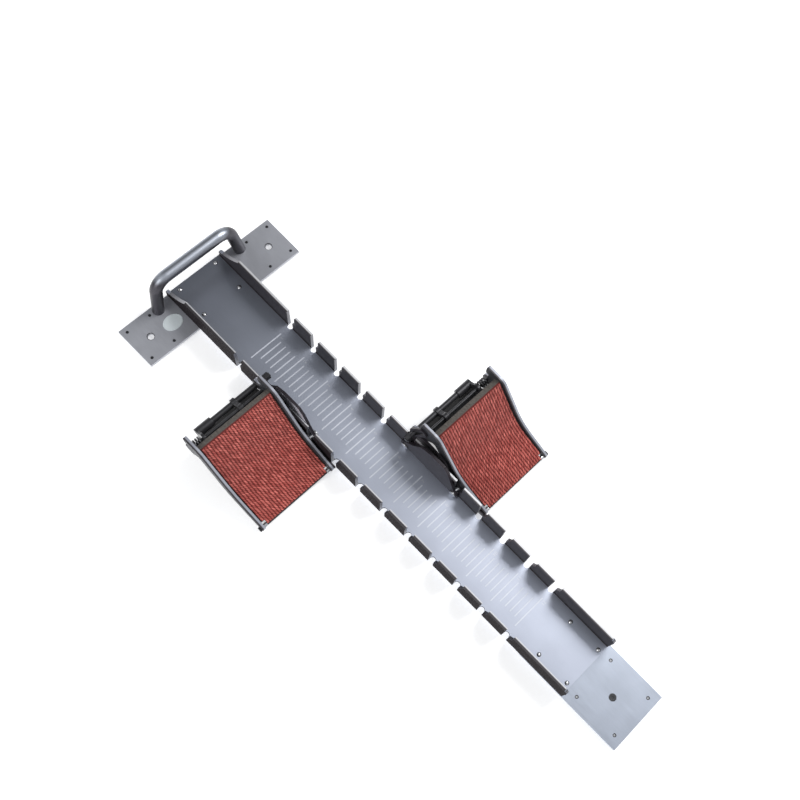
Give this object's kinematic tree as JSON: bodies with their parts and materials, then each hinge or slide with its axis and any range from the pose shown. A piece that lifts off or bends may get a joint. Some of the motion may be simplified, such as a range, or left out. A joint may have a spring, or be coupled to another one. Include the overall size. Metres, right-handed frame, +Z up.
{
  "type": "track starting blocks",
  "caption": "Sprint starting blocks: notched aluminium rail on anchor plates with a carry handle and two tilting foot pedals that lift out and lock by a sprung rod.",
  "frame": {"origin": "midway between the two rear anchor holes, on the running surface under the rear plate", "axes": "+X along the rail down the track, +Y to the sprinter's left, +Z up"},
  "size_m": [0.9284, 0.385, 0.1125],
  "materials": {
    "rail_metal": "satin brushed anodised",
    "plate_metal": "satin brushed",
    "handle_paint": "satin",
    "dark_steel": "satin",
    "bright_metal": "satin",
    "black_steel": "semi-gloss",
    "disc_plastic": "matt",
    "dark_plate": "satin",
    "side_metal": "satin",
    "board_plastic": "matt",
    "mat_red": "matt, knit texture"
  },
  "bodies": {
    "base": {"rail": "rail_metal", "rear_plate": "plate_metal", "front_plate": "plate_metal", "carry_handle": "handle_paint", "handle_plugs": "dark_steel", "handle_screws": "dark_steel", "rail_rivets": "bright_metal", "rear_spikes": "dark_steel", "front_spikes": "dark_steel", "front_anchor_screw": "black_steel", "blank_disc": "disc_plastic"},
    "left_carriage": {"left_guide_plate": "dark_plate", "left_bracket_plate": "dark_plate", "left_notch_pins": "bright_metal", "left_toe_axle": "dark_steel"},
    "left_pedal": {"left_inner_side_plate": "side_metal", "left_outer_side_plate": "side_metal", "left_face_board": "board_plastic", "left_face_mat": "mat_red", "left_tie_rod": "black_steel", "left_rod_guide": "black_steel", "left_side_screws": "dark_steel", "left_toe_bushes": "bright_metal", "left_return_spring": "black_steel"},
    "left_release": {"left_lock_rod": "black_steel", "left_release_yoke": "black_steel", "left_lock_nut": "dark_steel"},
    "right_carriage": {"right_guide_plate": "dark_plate", "right_bracket_plate": "dark_plate", "right_notch_pins": "bright_metal", "right_toe_axle": "dark_steel"},
    "right_pedal": {"right_inner_side_plate": "side_metal", "right_outer_side_plate": "side_metal", "right_face_board": "board_plastic", "right_face_mat": "mat_red", "right_tie_rod": "black_steel", "right_rod_guide": "black_steel", "right_side_screws": "dark_steel", "right_toe_bushes": "bright_metal", "right_return_spring": "black_steel"},
    "right_release": {"right_lock_rod": "black_steel", "right_release_yoke": "black_steel", "right_lock_nut": "dark_steel"}
  },
  "joints": [
    {"name": "left_lift", "type": "slide", "parent": "base", "child": "left_carriage", "axis": [0, 0, 1], "range_m": [0, 0.045]},
    {"name": "left_tilt", "type": "hinge", "parent": "left_carriage", "child": "left_pedal", "pos_m": [0.5205, 0, 0.005], "axis": [0, 1, 0], "range_deg": [0, 12]},
    {"name": "left_release", "type": "slide", "parent": "left_pedal", "child": "left_release", "axis": [0, 1, 0], "range_m": [0, 0.006], "stiffness_N_per_m": 2000, "springref_m": -0.005, "deforming": ["left_return_spring"]},
    {"name": "right_lift", "type": "slide", "parent": "base", "child": "right_carriage", "axis": [0, 0, 1], "range_m": [0, 0.045]},
    {"name": "right_tilt", "type": "hinge", "parent": "right_carriage", "child": "right_pedal", "pos_m": [0.3205, 0, 0.005], "axis": [0, 1, 0], "range_deg": [0, 12]},
    {"name": "right_release", "type": "slide", "parent": "right_pedal", "child": "right_release", "axis": [0, -1, 0], "range_m": [0, 0.006], "stiffness_N_per_m": 2000, "springref_m": -0.005, "deforming": ["right_return_spring"]}
  ]
}
